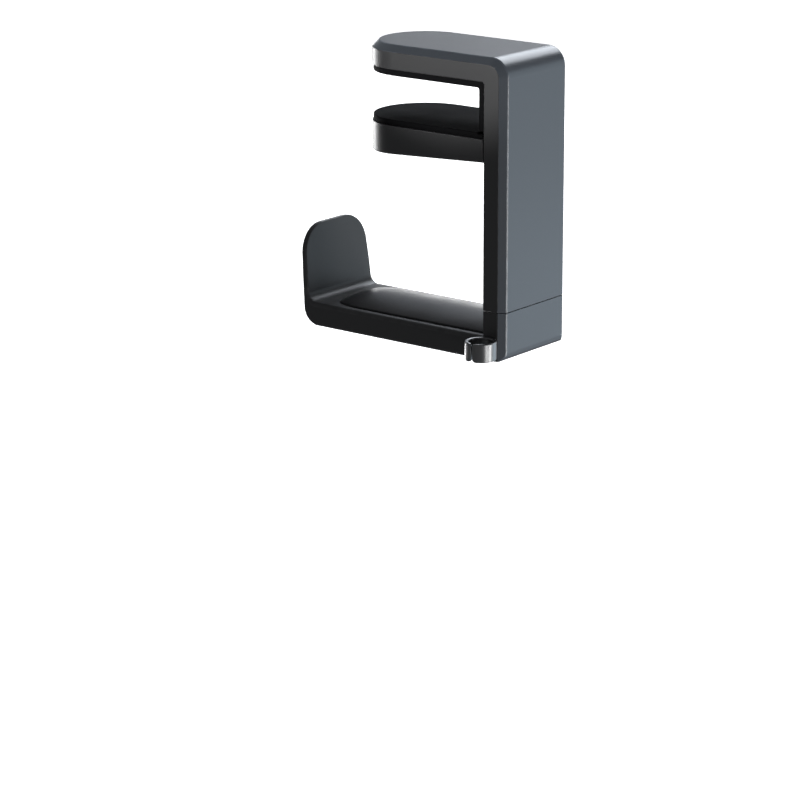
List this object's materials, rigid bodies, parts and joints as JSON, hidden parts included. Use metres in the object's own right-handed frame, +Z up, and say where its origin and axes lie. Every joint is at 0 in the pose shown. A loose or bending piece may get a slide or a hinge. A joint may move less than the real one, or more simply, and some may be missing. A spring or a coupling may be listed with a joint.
{
  "type": "headphone hook",
  "caption": "Desk-edge headphone hook: a sprung C clamp with rubber pads, a swivelling padded hook arm with an upturned end plate, and a cable clip.",
  "frame": {"origin": "on the underside of the upper pad, where the clamp rests on a desk top, 45 mm in from the spine's outer face and midway across the width", "axes": "+Z up, +X from the desk out through the spine's outer face, +Y across the width, away from the cable clip"},
  "size_m": [0.1093, 0.0572, 0.1237],
  "materials": {
    "shell": "fine-textured satin slate grey",
    "housing": "fine-textured satin charcoal",
    "hook": "satin charcoal",
    "pad": "matt black",
    "saddle": "soft satin charcoal",
    "clip": "gloss black",
    "steel": "zinc plated",
    "casting": "as cast",
    "acetal": "natural acetal"
  },
  "bodies": {
    "clamp": {"outer_cover": "shell", "main_housing": "housing", "upper_pad": "pad", "steel_frame": "steel", "pivot_block": "casting", "guide_rod_left": "steel", "guide_rod_right": "steel", "jaw_spring_left": "steel", "jaw_spring_right": "steel", "frame_arm_screw_left": "steel", "frame_arm_screw_right": "steel", "frame_spine_screw_left": "steel", "frame_spine_screw_right": "steel", "pivot_bolt": "steel", "thrust_washer": "acetal"},
    "jaw": {"lower_jaw": "housing", "lower_pad": "pad", "jaw_cover": "housing", "jaw_stiffener": "steel", "jaw_slider": "acetal", "jaw_screw_left": "steel", "jaw_screw_right": "steel", "stiffener_screw_1": "steel", "stiffener_screw_2": "steel"},
    "hook": {"hook_arm": "hook", "saddle_pad": "saddle", "hook_core": "steel", "hook_cover": "hook", "swivel_bush": "acetal", "wave_washer": "steel", "core_screw_1": "steel", "core_screw_2": "steel", "cover_screw_1_left": "steel", "cover_screw_1_right": "steel", "cover_screw_2_left": "steel", "cover_screw_2_right": "steel", "cable_clip": "clip", "clip_screw": "steel"}
  },
  "joints": [
    {"name": "jaw_slide", "type": "slide", "parent": "clamp", "child": "jaw", "axis": [0, 0, -1], "range_m": [0, 0.022], "stiffness_N_per_m": 600, "springref_m": -0.02, "deforming": ["jaw_spring_left", "jaw_spring_right"]},
    {"name": "hook_swivel", "type": "hinge", "parent": "clamp", "child": "hook", "pos_m": [0.03975, 0, -0.0905], "axis": [0, 0, 1], "continuous": true}
  ]
}
